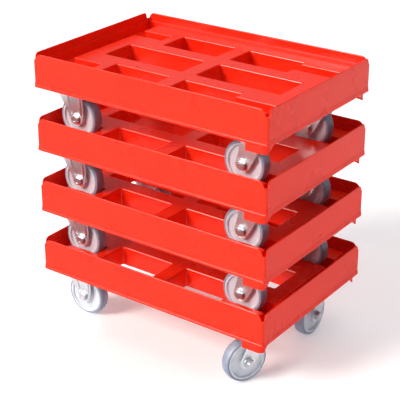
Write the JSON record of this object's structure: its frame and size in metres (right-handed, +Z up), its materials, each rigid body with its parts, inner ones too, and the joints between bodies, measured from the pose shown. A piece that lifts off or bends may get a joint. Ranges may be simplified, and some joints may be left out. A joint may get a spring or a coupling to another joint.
{
  "type": "stack of plastic transport dollies",
  "caption": "Nested stack of moulded plastic box dollies with walled decks, through pockets, fixed casters at one end and swivel casters at the other.",
  "frame": {"origin": "on the floor, under the middle of the stack's bounding box", "axes": "+X along the 600 mm side from the fixed casters to the swivel casters, +Y across the 400 mm side from front to back, +Z up"},
  "size_m": [0.6, 0.4001, 0.642],
  "materials": {
    "deck": "injection-moulded polypropylene, bright warm red, semi-gloss",
    "steel": "pressed sheet steel, bright zinc plated",
    "wheel": "blue-grey thermoplastic rubber tyre on a pale grey polypropylene disc"
  },
  "bodies": {
    "dolly_1": {"dolly_1_deck": "deck", "dolly_1_fixed_front_bracket": "steel", "dolly_1_fixed_front_axle": "steel", "dolly_1_swivel_front_plate": "steel", "dolly_1_fixed_back_bracket": "steel", "dolly_1_fixed_back_axle": "steel", "dolly_1_swivel_back_plate": "steel"},
    "dolly_1_fixed_front_wheel_body": {"dolly_1_fixed_front_wheel": "wheel"},
    "dolly_1_swivel_front_fork_body": {"dolly_1_swivel_front_fork": "steel", "dolly_1_swivel_front_axle": "steel"},
    "dolly_1_swivel_front_wheel_body": {"dolly_1_swivel_front_wheel": "wheel"},
    "dolly_1_fixed_back_wheel_body": {"dolly_1_fixed_back_wheel": "wheel"},
    "dolly_1_swivel_back_fork_body": {"dolly_1_swivel_back_fork": "steel", "dolly_1_swivel_back_axle": "steel"},
    "dolly_1_swivel_back_wheel_body": {"dolly_1_swivel_back_wheel": "wheel"},
    "dolly_2": {"dolly_2_deck": "deck", "dolly_2_fixed_front_bracket": "steel", "dolly_2_fixed_front_axle": "steel", "dolly_2_swivel_front_plate": "steel", "dolly_2_fixed_back_bracket": "steel", "dolly_2_fixed_back_axle": "steel", "dolly_2_swivel_back_plate": "steel"},
    "dolly_2_fixed_front_wheel_body": {"dolly_2_fixed_front_wheel": "wheel"},
    "dolly_2_swivel_front_fork_body": {"dolly_2_swivel_front_fork": "steel", "dolly_2_swivel_front_axle": "steel"},
    "dolly_2_swivel_front_wheel_body": {"dolly_2_swivel_front_wheel": "wheel"},
    "dolly_2_fixed_back_wheel_body": {"dolly_2_fixed_back_wheel": "wheel"},
    "dolly_2_swivel_back_fork_body": {"dolly_2_swivel_back_fork": "steel", "dolly_2_swivel_back_axle": "steel"},
    "dolly_2_swivel_back_wheel_body": {"dolly_2_swivel_back_wheel": "wheel"},
    "dolly_3": {"dolly_3_deck": "deck", "dolly_3_fixed_front_bracket": "steel", "dolly_3_fixed_front_axle": "steel", "dolly_3_swivel_front_plate": "steel", "dolly_3_fixed_back_bracket": "steel", "dolly_3_fixed_back_axle": "steel", "dolly_3_swivel_back_plate": "steel"},
    "dolly_3_fixed_front_wheel_body": {"dolly_3_fixed_front_wheel": "wheel"},
    "dolly_3_swivel_front_fork_body": {"dolly_3_swivel_front_fork": "steel", "dolly_3_swivel_front_axle": "steel"},
    "dolly_3_swivel_front_wheel_body": {"dolly_3_swivel_front_wheel": "wheel"},
    "dolly_3_fixed_back_wheel_body": {"dolly_3_fixed_back_wheel": "wheel"},
    "dolly_3_swivel_back_fork_body": {"dolly_3_swivel_back_fork": "steel", "dolly_3_swivel_back_axle": "steel"},
    "dolly_3_swivel_back_wheel_body": {"dolly_3_swivel_back_wheel": "wheel"},
    "dolly_4": {"dolly_4_deck": "deck", "dolly_4_fixed_front_bracket": "steel", "dolly_4_fixed_front_axle": "steel", "dolly_4_swivel_front_plate": "steel", "dolly_4_fixed_back_bracket": "steel", "dolly_4_fixed_back_axle": "steel", "dolly_4_swivel_back_plate": "steel"},
    "dolly_4_fixed_front_wheel_body": {"dolly_4_fixed_front_wheel": "wheel"},
    "dolly_4_swivel_front_fork_body": {"dolly_4_swivel_front_fork": "steel", "dolly_4_swivel_front_axle": "steel"},
    "dolly_4_swivel_front_wheel_body": {"dolly_4_swivel_front_wheel": "wheel"},
    "dolly_4_fixed_back_wheel_body": {"dolly_4_fixed_back_wheel": "wheel"},
    "dolly_4_swivel_back_fork_body": {"dolly_4_swivel_back_fork": "steel", "dolly_4_swivel_back_axle": "steel"},
    "dolly_4_swivel_back_wheel_body": {"dolly_4_swivel_back_wheel": "wheel"}
  },
  "joints": [
    {"name": "dolly_1_fixed_front_spin", "type": "hinge", "parent": "dolly_1", "child": "dolly_1_fixed_front_wheel_body", "pos_m": [-0.232, -0.125, 0.05], "axis": [0, 1, 0], "continuous": true},
    {"name": "dolly_1_swivel_front_turn", "type": "hinge", "parent": "dolly_1", "child": "dolly_1_swivel_front_fork_body", "pos_m": [0.235, -0.125, 0.128], "axis": [0, 0, 1], "continuous": true},
    {"name": "dolly_1_swivel_front_spin", "type": "hinge", "parent": "dolly_1_swivel_front_fork_body", "child": "dolly_1_swivel_front_wheel_body", "pos_m": [0.22232, -0.15219, 0.05], "axis": [0.9063, -0.4226, 0], "continuous": true},
    {"name": "dolly_1_fixed_back_spin", "type": "hinge", "parent": "dolly_1", "child": "dolly_1_fixed_back_wheel_body", "pos_m": [-0.232, 0.125, 0.05], "axis": [0, 1, 0], "continuous": true},
    {"name": "dolly_1_swivel_back_turn", "type": "hinge", "parent": "dolly_1", "child": "dolly_1_swivel_back_fork_body", "pos_m": [0.235, 0.125, 0.128], "axis": [0, 0, 1], "continuous": true},
    {"name": "dolly_1_swivel_back_spin", "type": "hinge", "parent": "dolly_1_swivel_back_fork_body", "child": "dolly_1_swivel_back_wheel_body", "pos_m": [0.235, 0.095, 0.05], "axis": [1, 0, 0], "continuous": true},
    {"name": "dolly_2_lift", "type": "slide", "parent": "dolly_1", "child": "dolly_2", "axis": [0, 0, 1], "range_m": [0, 0.08]},
    {"name": "dolly_2_fixed_front_spin", "type": "hinge", "parent": "dolly_2", "child": "dolly_2_fixed_front_wheel_body", "pos_m": [-0.232, -0.125, 0.197], "axis": [0, 1, 0], "continuous": true},
    {"name": "dolly_2_swivel_front_turn", "type": "hinge", "parent": "dolly_2", "child": "dolly_2_swivel_front_fork_body", "pos_m": [0.235, -0.125, 0.275], "axis": [0, 0, 1], "range_deg": [-4, 4]},
    {"name": "dolly_2_swivel_front_spin", "type": "hinge", "parent": "dolly_2_swivel_front_fork_body", "child": "dolly_2_swivel_front_wheel_body", "pos_m": [0.205, -0.125, 0.197], "axis": [0, -1, 0], "continuous": true},
    {"name": "dolly_2_fixed_back_spin", "type": "hinge", "parent": "dolly_2", "child": "dolly_2_fixed_back_wheel_body", "pos_m": [-0.232, 0.125, 0.197], "axis": [0, 1, 0], "continuous": true},
    {"name": "dolly_2_swivel_back_turn", "type": "hinge", "parent": "dolly_2", "child": "dolly_2_swivel_back_fork_body", "pos_m": [0.235, 0.125, 0.275], "axis": [0, 0, 1], "range_deg": [-4, 4]},
    {"name": "dolly_2_swivel_back_spin", "type": "hinge", "parent": "dolly_2_swivel_back_fork_body", "child": "dolly_2_swivel_back_wheel_body", "pos_m": [0.205, 0.125, 0.197], "axis": [0, -1, 0], "continuous": true},
    {"name": "dolly_3_lift", "type": "slide", "parent": "dolly_2", "child": "dolly_3", "axis": [0, 0, 1], "range_m": [0, 0.08]},
    {"name": "dolly_3_fixed_front_spin", "type": "hinge", "parent": "dolly_3", "child": "dolly_3_fixed_front_wheel_body", "pos_m": [-0.232, -0.125, 0.344], "axis": [0, 1, 0], "continuous": true},
    {"name": "dolly_3_swivel_front_turn", "type": "hinge", "parent": "dolly_3", "child": "dolly_3_swivel_front_fork_body", "pos_m": [0.235, -0.125, 0.422], "axis": [0, 0, 1], "range_deg": [-4, 4]},
    {"name": "dolly_3_swivel_front_spin", "type": "hinge", "parent": "dolly_3_swivel_front_fork_body", "child": "dolly_3_swivel_front_wheel_body", "pos_m": [0.205, -0.125, 0.344], "axis": [0, -1, 0], "continuous": true},
    {"name": "dolly_3_fixed_back_spin", "type": "hinge", "parent": "dolly_3", "child": "dolly_3_fixed_back_wheel_body", "pos_m": [-0.232, 0.125, 0.344], "axis": [0, 1, 0], "continuous": true},
    {"name": "dolly_3_swivel_back_turn", "type": "hinge", "parent": "dolly_3", "child": "dolly_3_swivel_back_fork_body", "pos_m": [0.235, 0.125, 0.422], "axis": [0, 0, 1], "range_deg": [-4, 4]},
    {"name": "dolly_3_swivel_back_spin", "type": "hinge", "parent": "dolly_3_swivel_back_fork_body", "child": "dolly_3_swivel_back_wheel_body", "pos_m": [0.205, 0.125, 0.344], "axis": [0, -1, 0], "continuous": true},
    {"name": "dolly_4_lift", "type": "slide", "parent": "dolly_3", "child": "dolly_4", "axis": [0, 0, 1], "range_m": [0, 0.08]},
    {"name": "dolly_4_fixed_front_spin", "type": "hinge", "parent": "dolly_4", "child": "dolly_4_fixed_front_wheel_body", "pos_m": [-0.232, -0.125, 0.491], "axis": [0, 1, 0], "continuous": true},
    {"name": "dolly_4_swivel_front_turn", "type": "hinge", "parent": "dolly_4", "child": "dolly_4_swivel_front_fork_body", "pos_m": [0.235, -0.125, 0.569], "axis": [0, 0, 1], "range_deg": [-4, 4]},
    {"name": "dolly_4_swivel_front_spin", "type": "hinge", "parent": "dolly_4_swivel_front_fork_body", "child": "dolly_4_swivel_front_wheel_body", "pos_m": [0.205, -0.125, 0.491], "axis": [0, -1, 0], "continuous": true},
    {"name": "dolly_4_fixed_back_spin", "type": "hinge", "parent": "dolly_4", "child": "dolly_4_fixed_back_wheel_body", "pos_m": [-0.232, 0.125, 0.491], "axis": [0, 1, 0], "continuous": true},
    {"name": "dolly_4_swivel_back_turn", "type": "hinge", "parent": "dolly_4", "child": "dolly_4_swivel_back_fork_body", "pos_m": [0.235, 0.125, 0.569], "axis": [0, 0, 1], "range_deg": [-4, 4]},
    {"name": "dolly_4_swivel_back_spin", "type": "hinge", "parent": "dolly_4_swivel_back_fork_body", "child": "dolly_4_swivel_back_wheel_body", "pos_m": [0.205, 0.125, 0.491], "axis": [0, -1, 0], "continuous": true}
  ]
}
